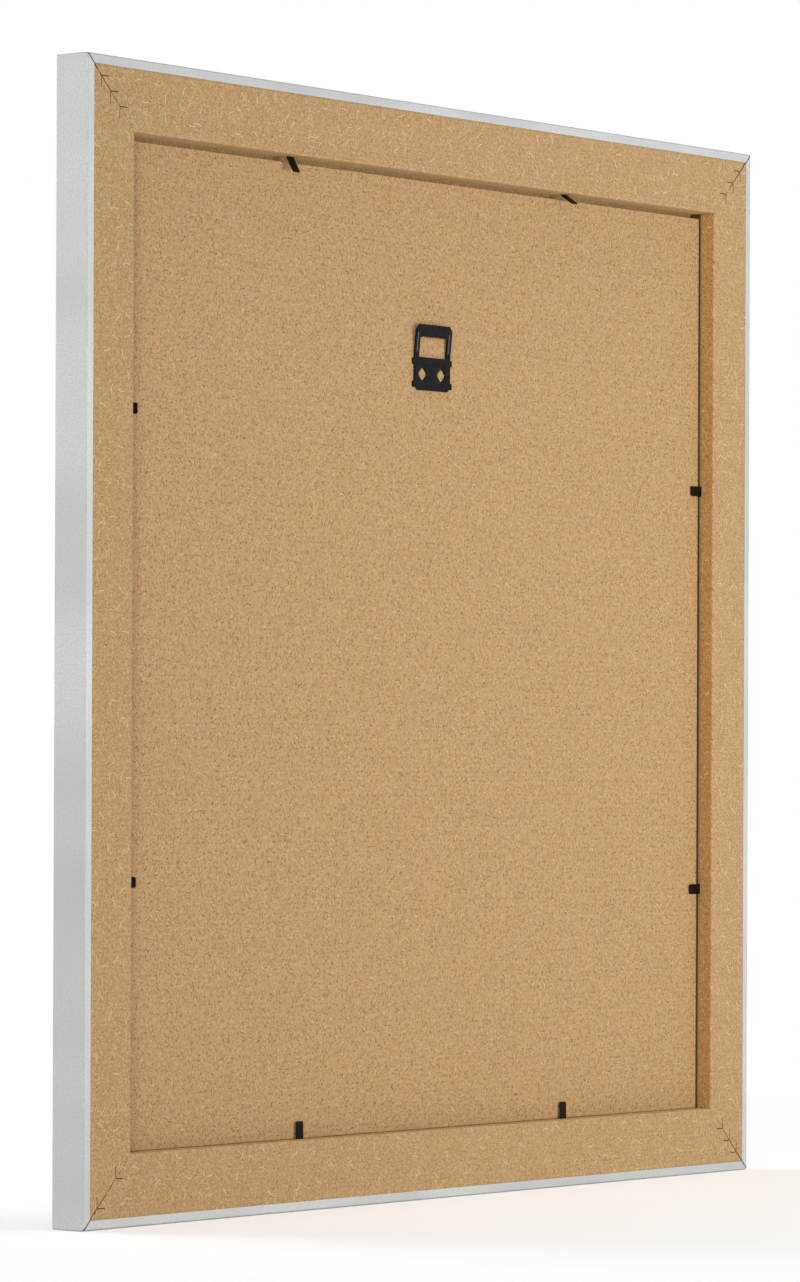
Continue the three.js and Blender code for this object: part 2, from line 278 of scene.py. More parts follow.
def bare_mdf():
    """Bare MDF: matt tan felt with pale fibres. The rebate's side walls are painted browner, as cut MDF and
    as painted bounce light, with painted shade lines by the panel.
    """
    material, tree, place = new_material("bare_mdf")
    cloud = zone(tree, grain(tree, place, 12, 2.0, 0.3), 0.3, 0.7)
    tone = lay(tree, colour("#B49163"), "#B8966A", 1.0, cloud)
    measures = add(tree, "ShaderNodeUVMap", uv_map="rail_grain")
    along, across = add(tree, "ShaderNodeSeparateXYZ", {0: measures}).outputs[:2]
    sideways = add(tree, "ShaderNodeMath", {0: facing(tree)[0]}, operation="ABSOLUTE")
    side_wall = zone(tree, sideways, 0.4, 0.8, zone(tree, across, rail_width - wall_edge, rail_width))
    # Cut MDF is browner. Kept to the walls that face sideways, this tint is also painted warm bounce light
    # from the panel.
    tone = lay(tree, tone, "#B28143", 0.75, side_wall)
    tone = fibre_felt(tree, place, tone,
                      grains=((1.1, 2.0, 0.9, 0.5, 0.72, 0.6, "#8F683C"),
                              (1.0, 2.0, 0.33, 0.52, 0.74, 0.5, "#D6BA8C")),
                      fibres=((2.0, 2.0, 0.7, 0.11, 0.35, "#DCC49A"),
                              (2.6, 2.6, 0.6, 0.37, 0.4, "#DCC49A"),
                              (2.2, 1.7, 0.6, 0.71, 0.5, "#82592F"),
                              (3.4, 1.5, 0.5, 0.83, 0.6, "#6E4A26"),
                              (9.0, 6.0, 0.5, 0.23, 0.75, "#E2CCA4"),
                              (12.0, 3.0, 0.5, 0.57, 0.6, "#6E4A26")),
                      bark=((9.0, 0.5, 0.2, 0.6, "#6E4A26"),))
    # A dark line at the foil's edge: glue, and painted shade of the foil's small step.
    glue_and_step_shade = zone(tree, across, foil_return + glue_and_shade_width, foil_return)
    tone = lay(tree, tone, "#7A5A3A", 0.4, glue_and_step_shade)
    from_middle = add(tree, "ShaderNodeMath", {0: along}, operation="ABSOLUTE")
    reach = add(tree, "ShaderNodeMath", {0: from_middle, 1: across}, operation="ADD")
    burnt = zone(tree, reach, outer_half - burn_edge, outer_half - burn_core)
    broken = zone(tree, grain(tree, place, 3.0, 2.0, 0.85), 0.3, 0.55)
    fading = add(tree, "ShaderNodeMapRange", {0: across, 1: burn_start, 2: burn_end, 3: 0.95, 4: 0.15})
    tone = lay(tree, tone, "#5A351A", fading, burnt, broken)
    level = add(tree, "ShaderNodeSeparateXYZ", {0: place}).outputs[1]
    # Painted shade on the side walls at and below the panel's level: a grey band and a dark line for the
    # shaded gap beside the panel.
    for start_mm, full_mm, strength, hex_text in ((1.9, 1.5, 0.5, "#8B7868"), (0.6, 0.3, 0.85, "#50340F")):
        painted_gap_shade = zone(tree, level, panel_back + start_mm * MM, panel_back + full_mm * MM, side_wall)
        tone = lay(tree, tone, hex_text, strength, painted_gap_shade)
    surface(tree, tone, grain(tree, place, 0.7, 4.0, 0.6), 0.25, 0.15,
            {"Roughness": 0.85, "Specular IOR Level": 0.2})
    return material


mdf = bare_mdf()
print("made", mdf.name)

# %% [markdown]
# ### Thin fibreboard
# The back panel is a thinner, harder board from another mill. It is more orange, and its fibres are short
# and blurred into a reddish mottle with pale and dark flecks about a millimetre wide. The same patterns
# serve, at other sizes and colours.

# %% The fibreboard of the back panel
def thin_fibreboard():
    """Thin fibreboard: smooth warm brown with a reddish mottle and small dark flecks."""
    material, tree, place = new_material("thin_fibreboard")
    drift = zone(tree, grain(tree, place, 14, 3.0, 0.4), 0.34, 0.66)
    tone = lay(tree, colour("#B8976B"), "#BB9668", 1.0, drift)
    tone = fibre_felt(tree, place, tone,
                      grains=((2.4, 3.0, 0.8, 0.46, 0.72, 0.4, "#A5794C"),
                              (1.2, 2.0, 0.15, 0.52, 0.72, 0.55, "#DABC8E"),
                              (1.2, 2.0, 0.55, 0.52, 0.72, 0.6, "#8A5522")),
                      fibres=((2.6, 2.2, 0.5, 0.53, 0.25, "#DABE93"),
                              (2.4, 1.5, 0.5, 0.91, 0.75, "#854F20"),
                              (4.0, 2.0, 0.5, 0.47, 0.85, "#6C3F18"),
                              (10.0, 3.5, 0.5, 0.29, 0.65, "#5E3B1B")),
                      bark=((11.0, 0.8, 0.25, 0.75, "#5E3B1B"), (5.0, 0.6, 0.65, 0.75, "#5E3B1B")))
    surface(tree, tone, grain(tree, place, 1.0, 3.0, 0.35), 0.15, 0.1,
            {"Roughness": 0.75, "Specular IOR Level": 0.25})
    return material


fibreboard = thin_fibreboard()
print("made", fibreboard.name)

# %% [markdown]
# ### Silver foil
# The moulding is wrapped in a printed silver foil. It isn't a mirror: a satin lacquer spreads the light,
# a fine pearl grain sits in it, and long soft streaks run with the rail, where the foil was drawn through
# the wrapping machine. A thin grey line of painted shade lies on the rounded edges, strongest where they
# face up or down, and the strip on the back is painted a touch darker as painted shade. Streaks and line
# follow each rail, so they read the rail's own UV map, in metres along and across it, and not the object's
# axes.

# %% The foil's finish
edge_shade_start, edge_shade_in, edge_shade_out, edge_shade_end = 0.02 * MM, 0.1 * MM, 0.4 * MM, 0.8 * MM


def silver_foil():
    """Printed silver foil: pale satin grey with pearl grain and lengthwise streaks."""
    material, tree, place = new_material("silver_foil")
    measures = add(tree, "ShaderNodeUVMap", uv_map="rail_grain")
    drawn_out = add(tree, "ShaderNodeMapping", {0: measures, 3: (0.03, 1.0, 1.0)})
    streaks = zone(tree, grain(tree, drawn_out, 6.0, 2.0, 0.2), 0.3, 0.7)
    bands = zone(tree, grain(tree, measures, 70.0, 1.0, 0.6), 0.3, 0.7)
    pearl = zone(tree, grain(tree, place, 1.0, 2.0, 0.45), 0.36, 0.64)
    tone = lay(tree, colour("#BDC0BE"), "#C8CAC8", 1.0, streaks)
    tone = lay(tree, tone, "#D6D9D7", 0.75, bands)
    tone = lay(tree, tone, "#B2B6B4", 0.45, pearl)
    across = add(tree, "ShaderNodeSeparateXYZ", {0: measures}).outputs[1]
    # Painted shade: a thin grey line on the rounded edges, strongest where they face up or down.
    painted_edge_shade = zone(tree, across, edge_shade_start, edge_shade_in, zone(tree, across, edge_shade_end, edge_shade_out))
    _, backwards, upwards = facing(tree)
    level = add(tree, "ShaderNodeMath", {0: upwards}, operation="ABSOLUTE")
    shade = add(tree, "ShaderNodeMapRange", {0: level, 1: 0.3, 2: 0.7, 3: 0.25, 4: 0.6})
    tone = lay(tree, tone, "#7C807E", shade, painted_edge_shade)
    # Painted shade: the strip that faces back is made a touch darker.
    tone = lay(tree, tone, "#A4A7A5", 0.1, zone(tree, backwards, 0.5, 0.9))
    rough = add(tree, "ShaderNodeMapRange", {0: pearl, 3: 0.4, 4: 0.52})
    surface(tree, tone, pearl, 0.06, 0.05, {"Roughness": rough, "Metallic": 0.15, "Specular IOR Level": 0.3})
    return material


foil = silver_foil()
print("made", foil.name)

# %% [markdown]
# ### Steel, in three finishes
# The hanger is stamped steel with a black coat, the bent points are oiled spring strip, and the V-nails
# are plain strip that has gone dark. All three are the same kind of surface, metal or coat with a fine
# unevenness that breaks up the gloss, so one function makes them from a few values.

# %% Steel finishes
def steel_finish(name, tone_hex, worn_hex, metallic, roughness, specular, patch_mm):
    """A dark steel surface whose colour and gloss change in small patches."""
    material, tree, place = new_material(name)
    worn = zone(tree, grain(tree, place, patch_mm, 3.0, 0.5), 0.35, 0.7)
    tone = lay(tree, colour(tone_hex), worn_hex, 1.0, worn)
    rough = add(tree, "ShaderNodeMapRange", {0: worn, 3: roughness - 0.06, 4: roughness + 0.08})
    surface(tree, tone, grain(tree, place, 0.35, 2.0, 0.8), 0.08, 0.03,
            {"Roughness": rough, "Metallic": metallic, "Specular IOR Level": specular})
    return material


# Stove-enamelled black: deep and even, with a soft gloss on rounded edges
black_coat = steel_finish("black_enamelled_steel", "#0D0B0B", "#141111", 0.0, 0.2, 0.09, 2.0)
# Oiled spring strip: brown-black with a dull shine
spring_strip = steel_finish("oiled_spring_steel", "#120F08", "#1B160D", 0.0, 0.4, 0.05, 1.5)
# V-nail strip: brown with rust and dust, so it hardly shines
nail_strip = steel_finish("v_nail_steel", "#5A3412", "#80521F", 0.1, 0.5, 0.05, 1.0)
print("made", black_coat.name, spring_strip.name, nail_strip.name)

# %% [markdown]
# ### Glass and paper on the front
# A pane of float glass covers a plain sheet of off-white paper board. Real glass would bend each light
# ray twice and cost much noise for a flat pane, so it is drawn as what it does to the eye: clear, faintly
# green, with a mirror reflection that grows towards grazing angles. On a ray's way out of the pane the
# Fresnel node would act as a full mirror, so the reflection is kept to faces seen from outside.

# %% Glass and paper
def float_glass():
    """Clear float glass: see-through, with a Fresnel reflection where light enters it."""
    material, tree, place = new_material("float_glass")
    ripple = zone(tree, grain(tree, place, 80.0, 1.0, 0.3), 0.2, 0.8)
    tint = lay(tree, colour("#FDFEFD"), "#FEFFFE", 1.0, ripple)
    clear = add(tree, "ShaderNodeBsdfTransparent", {0: tint})
    mirror = add(tree, "ShaderNodeBsdfGlossy", {"Roughness": 0.02})
    rim = add(tree, "ShaderNodeFresnel", {"IOR": 1.5})
    inside = add(tree, "ShaderNodeNewGeometry").outputs["Backfacing"]
    outside = add(tree, "ShaderNodeMath", {0: 1.0, 1: inside}, operation="SUBTRACT")
    shine = add(tree, "ShaderNodeMath", {0: rim, 1: outside}, operation="MULTIPLY")
    both = add(tree, "ShaderNodeMixShader", {0: shine, 1: clear, 2: mirror})
    add(tree, "ShaderNodeOutputMaterial", {"Surface": both})
    return material


def paper_board():
    """Off-white paper board with a faint felt texture."""
    material, tree, place = new_material("paper_board")
    fuzz = zone(tree, grain(tree, place, 1.2, 4.0, 0.7), 0.3, 0.7)
    tone = lay(tree, colour("#EDE9DF"), "#F3F0E8", 1.0, fuzz)
    surface(tree, tone, fuzz, 0.1, 0.05, {"Roughness": 0.9, "Specular IOR Level": 0.2})
    return material


glass = float_glass()
paper = paper_board()
print("made", glass.name, paper.name)

# %% [markdown]
# ## Making plain meshes
# Some pieces come out of modifiers or Geometry Nodes. The model that is kept has to be plain mesh, so
# each such object is evaluated once, and the result takes the place of its data. Rounded edges would make
# the wide faces beside them shade as if they were domed, so each face's normals are weighted by its area.

# %% Mesh helpers
SMOOTH_LIMIT = math.radians(35)
WELD_DISTANCE = 1e-7
EDGE_SEGMENTS = 3


def new_object(name, data):
    piece = bpy.data.objects.new(name, data)
    bpy.context.scene.collection.objects.link(piece)
    return piece


def remove(*objects):
    for unwanted in objects:
        bpy.data.objects.remove(unwanted)


@contextmanager
def edited(mesh):
    """Opens a mesh for editing, and writes the result back."""
    work = bmesh.new()
    work.from_mesh(mesh)
    yield work
    work.to_mesh(mesh)
    work.free()


def make_plain(piece):
    """Puts what a piece's modifiers make in the place of its mesh."""
    depsgraph = bpy.context.evaluated_depsgraph_get()
    evaluated = piece.evaluated_get(depsgraph)
    mesh = bpy.data.meshes.new_from_object(evaluated, preserve_all_data_layers=True, depsgraph=depsgraph)
    piece.modifiers.clear()
    piece.data = mesh
    mesh.name = piece.name
    return mesh


def settle(piece):
    """A plain mesh with its faces outwards. Edges are smooth, and wide faces beside them look flat."""
    mesh = make_plain(piece)
    with edited(mesh) as work:
        bmesh.ops.remove_doubles(work, verts=work.verts, dist=WELD_DISTANCE)
        bmesh.ops.recalc_face_normals(work, faces=work.faces)
    mesh.shade_smooth()
    mesh.set_sharp_from_angle(angle=SMOOTH_LIMIT)
    by_area = piece.modifiers.new("flats", "WEIGHTED_NORMAL")
    by_area.keep_sharp = True
    make_plain(piece)
    return piece


def soften(piece, width, **options):
    """Rounds a piece's edges."""
    bevel = piece.modifiers.new("edges", "BEVEL")
    bevel.width = width
    bevel.segments = EDGE_SEGMENTS
    for name, value in options.items():
        setattr(bevel, name, value)
    return settle(piece)


def cut(piece, cutters):
    """Cuts other pieces out of a piece."""
    for cutter in cutters:
        modifier = piece.modifiers.new("slot", "BOOLEAN")
        modifier.operation = "DIFFERENCE"
        modifier.solver = "EXACT"
        modifier.object = cutter
    return settle(piece)


def closed_curve(name, outlines, dimensions):
    """A curve with a closed line of straight stretches for each outline."""
    data = bpy.data.curves.new(name, "CURVE")
    data.dimensions = dimensions
    for outline in outlines:
        spline = data.splines.new("POLY")
        spline.points.add(len(outline) - 1)
        for point, (first, second) in zip(spline.points, outline):
            point.co = (first, second, 0, 1)
        spline.use_cyclic_u = True
    return new_object(name, data)


print("mesh helpers ready")

# %% [markdown]
# ## Geometry Nodes trees
# A tree is a recipe with named inputs. The helpers here start one, end it and run it on an object. A
# modifier stores its inputs under each socket's identifier and not its name, so the run looks that up.

# %% Tree helpers
def new_tree(name, **inputs):
    """An empty Geometry Nodes tree with named inputs, and the node that gives them."""
    tree = bpy.data.node_groups.new(name, "GeometryNodeTree")
    tree.interface.new_socket(name="Geometry", in_out="INPUT", socket_type="NodeSocketGeometry")
    for label, kind in inputs.items():
        tree.interface.new_socket(name=label, in_out="INPUT", socket_type="NodeSocket" + kind)
    tree.interface.new_socket(name="Geometry", in_out="OUTPUT", socket_type="NodeSocketGeometry")
    return tree, tree.nodes.new("NodeGroupInput").outputs


def end_tree(tree, geometry, material):
    """Every tree ends alike: real mesh, with its material."""
    real = add(tree, "GeometryNodeRealizeInstances", {0: geometry})
    finished = add(tree, "GeometryNodeSetMaterial", {0: real, "Material": material})
    add(tree, "NodeGroupOutput", {0: finished})
    return tree


def run_tree(name, tree, mesh=None, **values):
    """A piece made by a Geometry Nodes tree from a mesh, which may be empty."""
    piece = new_object(name, mesh or bpy.data.meshes.new(name))
    modifier = piece.modifiers.new("tree", "NODES")
    modifier.node_group = tree
    for item in tree.interface.items_tree:
        if item.in_out == "INPUT" and item.name in values:
            modifier[item.identifier] = values[item.name]
    return settle(piece)


print("tree helpers ready")

# %% [markdown]
# ## The mitred moulding
# A frame rail is a moulding: one section, drawn straight along its length and sawn at 45 degrees. Curve to
# Mesh does the drawing. A sweep round a square path would pinch the section at the corners, so each rail
# is swept straight and its ends are then pushed back by each point's own distance from the outer edge,
# which is exactly what the saw does. At the back the joint stands open by a hair near the outer corner, as
# it does when the glue shrinks. The rail's own measures, along and across, are kept as a UV map.

# %% Geometry Nodes: a mitred rail
mitre_gap = 0.06 * MM
mitre_opening = 0.6 * MM
mitre_reach = 18 * MM
opening_depth = 2 * MM


def moulding_tree():
    """A rail that is drawn along Z, sawn, moved out to its edge and turned to its side of the frame."""
    tree, given = new_tree("mitred_moulding", Profile="Object", Length="Float", Outer="Float",
                           Setback="Float", Opening="Float", Depth="Float", Reach="Float", Turn="Float",
                           Height="Float", Material="Material")
    ends = []
    for part in (-0.5, 0.5):
        end = add(tree, "ShaderNodeMath", {0: given["Length"], 1: part}, operation="MULTIPLY")
        ends.append(add(tree, "ShaderNodeCombineXYZ", {2: end}))
    path = add(tree, "GeometryNodeCurvePrimitiveLine", {"Start": ends[0], "End": ends[1]})
    section = add(tree, "GeometryNodeObjectInfo", {"Object": given["Profile"]}).outputs["Geometry"]
    swept = add(tree, "GeometryNodeCurveToMesh", {"Curve": path, "Profile Curve": section, "Fill Caps": True})
    x, y, z = add(tree, "ShaderNodeSeparateXYZ", {0: add(tree, "GeometryNodeInputPosition")}).outputs
    opened = add(tree, "ShaderNodeMapRange", {0: x, 1: 0.0, 2: given["Reach"], 3: given["Opening"], 4: 0.0})
    deepest = add(tree, "ShaderNodeMath", {0: given["Depth"], 1: -1.0}, operation="MULTIPLY")
    at_back = add(tree, "ShaderNodeMapRange", {0: y, 1: deepest, 2: 0.0, 3: 0.0, 4: opened})
    close = add(tree, "ShaderNodeMath", {0: x, 1: given["Setback"]}, operation="ADD")
    sawn = add(tree, "ShaderNodeMath", {0: close, 1: at_back}, operation="ADD")
    end_sign = add(tree, "ShaderNodeMath", {0: z}, operation="SIGN")
    pulled = add(tree, "ShaderNodeMath", {0: sawn, 1: end_sign}, operation="MULTIPLY")
    pulled_back = add(tree, "ShaderNodeMath", {0: pulled, 1: -1.0}, operation="MULTIPLY")
    offset = add(tree, "ShaderNodeCombineXYZ", {2: pulled_back})
    mitred = add(tree, "GeometryNodeSetPosition", {"Geometry": swept, "Offset": offset})
    measures = add(tree, "ShaderNodeCombineXYZ", {0: z, 1: x})
    mapped = add(tree, "GeometryNodeStoreNamedAttribute",
                 {"Geometry": mitred, "Name": "rail_grain", "Value": measures},
                 data_type="FLOAT2", domain="CORNER")
    outwards = add(tree, "ShaderNodeMath", {0: given["Outer"], 1: -1.0}, operation="MULTIPLY")
    to_edge = add(tree, "ShaderNodeCombineXYZ", {0: outwards})
    at_edge = add(tree, "GeometryNodeTransform", {0: mapped, "Translation": to_edge})
    to_middle = add(tree, "ShaderNodeCombineXYZ", {2: given["Height"]})
    to_side = add(tree, "ShaderNodeCombineXYZ", {1: given["Turn"]})
    in_place = add(tree, "GeometryNodeTransform", {0: at_edge, "Translation": to_middle, "Rotation": to_side})
    return end_tree(tree, in_place, given["Material"])


moulding = moulding_tree()
print("tree", moulding.name, "with", len(moulding.nodes), "nodes")

# %% [markdown]
# ## The rail's section
# The section is an L: a thick back part and a thin lip in front that covers the edge of the glass. The
# foil runs from a narrow strip on the back, round the outer side and the front, to the sight edge. Each
# round corner is an arc with one extra point just before and after it, which keeps the flat faces beside
# it flat when they are shaded smoothly.

# %% Section outlines
ARC_STEPS = 8
EASE = 0.12 * MM


def arc(centre, radius, start_degrees):
    """A quarter circle, counter-clockwise, with a point on each tangent just outside it."""
    points = []
    for step in range(ARC_STEPS + 1):
        angle = math.radians(start_degrees + 90 * step / ARC_STEPS)
        points.append(Vector((centre[0] + radius * math.cos(angle), centre[1] + radius * math.sin(angle))))
    start = math.radians(start_degrees)
    before = points[0] - EASE * Vector((-math.sin(start), math.cos(start)))
    after = points[-1] + EASE * Vector((-math.cos(start), -math.sin(start)))
    return [before, *points, after]


def foil_path(inset):
    """The foil's way round the section, at an inset from its outer face, from the back to the lip."""
    radius = edge_radius - inset
    return [
        Vector((foil_return, -inset)),
        *arc((edge_radius, -edge_radius), radius, 90),
        *arc((edge_radius, front + edge_radius), radius, 180),
        *arc((front_width - edge_radius, front + edge_radius), radius, 270),
        Vector((front_width - inset, rebate_floor)),
    ]


foil_section = foil_path(0) + foil_path(foil_thickness)[::-1]
rounding = (rail_width - rebate_edge_radius, mdf_back - rebate_edge_radius)
core_section = [*foil_path(foil_thickness), Vector((rail_width, rebate_floor)),
                *arc(rounding, rebate_edge_radius, 0)]
print("section points", len(foil_section), "foil,", len(core_section), "core")


# %% Rails and foils from their sections
def mitred_pieces(kind, outline, material):
    """The four rails or foils of one section."""
    profile = closed_curve(kind + "_section", [outline], "3D")
    pieces = {}
    for side, turn in turns.items():
        pieces[side] = run_tree(f"{kind}_{side}_shaped", moulding, Profile=profile,
                                Length=2 * outer_half, Outer=outer_half, Setback=mitre_gap / math.sqrt(2),
                                Opening=mitre_opening, Depth=opening_depth, Reach=mitre_reach,
                                Turn=math.radians(turn), Height=centre_z, Material=material)
    remove(profile)
    return pieces


rails = mitred_pieces("rail", core_section, mdf)
foils = mitred_pieces("foil", foil_section, foil)
for piece in (*rails.values(), *foils.values()):
    print(piece.name, len(piece.data.polygons), "faces")

# %% [markdown]
# ## Bent steel strip
# V-nails and flex points are both short lengths of steel strip with one bend, so one tree makes both: a
# line with three points, its corner rounded, and a flat rectangle with rounded edges drawn along it. A
# V-nail is bent square. A flex point is pushed into the rebate wall and bent by hand, each one a bit
# differently, and the corners of its tip are clipped. The distance along the strip is kept as an
# attribute, which the clipping reads.

# %% Geometry Nodes: a bent strip
BEND_STEPS = 8
CLIPPED_SHARE = 0.2


def strip_tree():
    """A strip that lies along X, with its root before the origin and its tip bent up past it."""
    tree, given = new_tree("bent_strip", Root="Float", Tip="Float", Bend="Float", Radius="Float",
                           Width="Float", Thickness="Float", Edge="Float", Step="Float", Clip="Float",
                           Material="Material")
    line = add(tree, "GeometryNodeCurvePrimitiveLine")
    three = add(tree, "GeometryNodeResampleCurve", {"Curve": line, "Count": 3})
    order = add(tree, "GeometryNodeInputIndex")
    leg = {}
    for end, first, second in (("Root", 1.0, order), ("Tip", order, 1.0)):
        at_end = add(tree, "ShaderNodeMath", {0: first, 1: second}, operation="SUBTRACT", use_clamp=True)
        leg[end] = add(tree, "ShaderNodeMath", {0: at_end, 1: given[end]}, operation="MULTIPLY")
    turned = []
    for operation in ("COSINE", "SINE"):
        part = add(tree, "ShaderNodeMath", {0: given["Bend"]}, operation=operation)
        turned.append(add(tree, "ShaderNodeMath", {0: leg["Tip"], 1: part}, operation="MULTIPLY"))
    path_x = add(tree, "ShaderNodeMath", {0: turned[0], 1: leg["Root"]}, operation="SUBTRACT")
    corner = add(tree, "ShaderNodeCombineXYZ", {0: path_x, 1: turned[1]})
    angled = add(tree, "GeometryNodeSetPosition", {"Geometry": three, "Position": corner})
    bent = add(tree, "GeometryNodeFilletCurve",
               {"Curve": angled, "Radius": given["Radius"], "Count": BEND_STEPS, "Limit Radius": True},
               mode="POLY")
    even = add(tree, "GeometryNodeResampleCurve", {"Curve": bent, "Length": given["Step"]}, mode="LENGTH")
    travelled = add(tree, "GeometryNodeSplineParameter").outputs["Length"]
    marked = add(tree, "GeometryNodeStoreNamedAttribute",
                 {"Geometry": even, "Name": "strip_reach", "Value": travelled},
                 data_type="FLOAT", domain="POINT")
    upright = add(tree, "GeometryNodeSetCurveNormal", {"Curve": marked}, mode="Z_UP")
    flat = add(tree, "GeometryNodeCurvePrimitiveQuadrilateral",
               {"Width": given["Thickness"], "Height": given["Width"]})
    rounded = add(tree, "GeometryNodeFilletCurve",
                  {"Curve": flat, "Radius": given["Edge"], "Count": EDGE_SEGMENTS, "Limit Radius": True},
                  mode="POLY")
    drawn = add(tree, "GeometryNodeCurveToMesh",
                {"Curve": upright, "Profile Curve": rounded, "Fill Caps": True})
    reach = add(tree, "GeometryNodeInputNamedAttribute", {"Name": "strip_reach"}, data_type="FLOAT")
    full = add(tree, "ShaderNodeMath", {0: given["Root"], 1: given["Tip"]}, operation="ADD")
    clip_start = add(tree, "ShaderNodeMath", {0: full, 1: given["Clip"]}, operation="SUBTRACT")
    narrowing = add(tree, "ShaderNodeMapRange", {0: reach, 1: clip_start, 2: full, 3: 0.0, 4: -CLIPPED_SHARE})
    z = add(tree, "ShaderNodeSeparateXYZ", {0: add(tree, "GeometryNodeInputPosition")}).outputs[2]
    drawn_in = add(tree, "ShaderNodeMath", {0: z, 1: narrowing}, operation="MULTIPLY")
    offset = add(tree, "ShaderNodeCombineXYZ", {2: drawn_in})
    clipped = add(tree, "GeometryNodeSetPosition", {"Geometry": drawn, "Offset": offset})
    return end_tree(tree, clipped, given["Material"])


bent_strip = strip_tree()
print("tree", bent_strip.name, "with", len(bent_strip.nodes), "nodes")

# %% [markdown]
# ## Turned copies
# The V-nails are all alike, and so are the eight sides of the hanger's crowns. Each is modelled once. A point
# for each copy says where it goes, and a number kept on that point says how far it is turned, so one small
# tree sets them all.

# %% Geometry Nodes: turned copies
def copies_tree():
    """Puts a copy of an object on each point, turned about Y by the point's own angle."""
    tree, given = new_tree("turned_copies", Copy="Object", Material="Material")
    model = add(tree, "GeometryNodeObjectInfo", {"Object": given["Copy"]}).outputs["Geometry"]
    turn = add(tree, "GeometryNodeInputNamedAttribute", {"Name": "turn"}, data_type="FLOAT")
    rotation = add(tree, "ShaderNodeCombineXYZ", {1: turn})
    copies = add(tree, "GeometryNodeInstanceOnPoints",
                 {"Points": given["Geometry"], "Instance": model, "Rotation": rotation})
    return end_tree(tree, copies, given["Material"])


def turned_points(name, places):
    """A mesh of points, each with the angle that its copy is turned by."""
    mesh = bpy.data.meshes.new(name)
    mesh.from_pydata([place for place, _ in places], [], [])
    mesh.attributes.new("turn", "FLOAT", "POINT").data.foreach_set("value", [turn for _, turn in places])
    return mesh


turned_copies = copies_tree()
print("tree", turned_copies.name, "with", len(turned_copies.nodes), "nodes")

# %% [markdown]
# ## V-nails and their slots
# The corners are held by V-nails, pressed in from the back across the mitre until they are just under the
# surface, so all that shows is a thin dark V. The same strip, a hair thicker, cuts the slots in the rails.

# %% V-nails
nail_low, nail_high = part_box("v_nail_bottom_right_1")
nail_height = nail_high.y - nail_low.y
nail_leg = nail_high.x - nail_low.x
nail_thickness = 0.44 * MM
nail_bend = 0.7 * MM
nail_edge = 0.08 * MM
nail_step = 1.0 * MM
slot_gap = 0.06 * MM
slot_rise = 2 * MM
corner_turns = {"bottom_right": 0, "top_right": 90, "top_left": 180, "bottom_left": -90}
nail_nodes = sorted(name for name in frame["nodes"] if name.startswith("v_nail_"))


def nail_places():
    """Where each nail's outer corner is, half way down its height, and how its V is turned."""
    places = []
    for name in nail_nodes:
        turn = math.radians(corner_turns[name[len("v_nail_"):].rsplit("_", 1)[0]])
        low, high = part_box(name)
        middle = (low + high) / 2 - Vector((0, 0, centre_z))
        apex = Matrix.Rotation(-turn, 3, "Y") @ middle - Vector((nail_leg / 2, 0, nail_leg / 2))
        places.append((Matrix.Rotation(turn, 3, "Y") @ apex + Vector((0, 0, centre_z)), turn))
    return places


def nails(name, margin, extra_height):
    """All V-nails as one piece, or their slots when a margin is given."""
    leg = nail_leg - nail_thickness / 2
    strip = run_tree("nail_model", bent_strip, Root=leg + margin, Tip=leg + margin, Bend=math.pi / 2,
                     Radius=nail_bend, Width=nail_height + extra_height,
                     Thickness=nail_thickness + 2 * margin, Edge=nail_edge, Step=nail_step, Clip=0.0,
                     Material=nail_strip)
    stand = Matrix.Rotation(-math.pi / 2, 4, "X") @ Matrix.Rotation(math.pi, 4, "Z")
    to_corner = Matrix.Translation((nail_thickness / 2, 0, nail_thickness / 2))
    strip.data.transform(to_corner @ stand)
    piece = run_tree(name, turned_copies, turned_points(name, nail_places()), Copy=strip, Material=nail_strip)
    remove(strip)
    return piece


v_nails = nails("v_nails", 0, 0)
nail_slots = nails("nail_slots", slot_gap, slot_rise)
print("V-nails", len(nail_nodes), "in one piece of", len(v_nails.data.polygons), "faces")

# %% [markdown]
# ## Flex points
# Eight strips keep the pack in. Each comes out of the rebate wall a little above the panel and was bent
# down over it, or left standing. In the CAD model a strip is a fixed shank and a hinged tab. Here it is
# one fixed strip, made already bent. How far each is bent at rest can be read from its joint, whose range
# starts where the tip is pressed to the panel.

# %% Flex points
shank_low, shank_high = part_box("flex_shank_right_upper")
shank_length = rail_width - (shank_low.x - cad_low.x)
strip_width = shank_high.z - shank_low.z
strip_thickness = shank_high.y - shank_low.y
strip_bend = 0.5 * MM
strip_edge = 0.12 * MM
strip_step = 0.2 * MM
tip_clip = 0.6 * MM
pressed_flat = math.radians(-4.5)
joint_of = {joint["child"]: joint for joint in frame["joints"]}
tab_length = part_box("flex_tab_bottom_left")[1].z - joint_of["tab_bottom_left"]["pos_m"][2]


def flex_frame(joint):
    """Places a strip that was made along +X at its bend line: the axis turned square to the wall."""
    side = joint["name"].split("_")[1]
    return Matrix.Translation(joint["pos_m"]) @ Matrix.Rotation(math.radians(turns[side]), 4, "Y")


def flex_strip(name, joint, margin=0.0):
    """One flex point, or the slot for its shank when a margin is given."""
    bend = 0.0 if margin else pressed_flat - math.radians(joint["range_deg"][0])
    wall = outer_half - rail_width - max(abs(joint["pos_m"][0]), abs(joint["pos_m"][2] - centre_z))
    strip = run_tree(name, bent_strip, Root=shank_length + abs(wall) + margin, Tip=tab_length,
                     Bend=bend, Radius=strip_bend, Width=strip_width + 2 * margin,
                     Thickness=strip_thickness + 2 * margin, Edge=strip_edge, Step=strip_step,
                     Clip=0.0 if margin else tip_clip, Material=spring_strip)
    strip.data.transform(flex_frame(joint))
    return strip


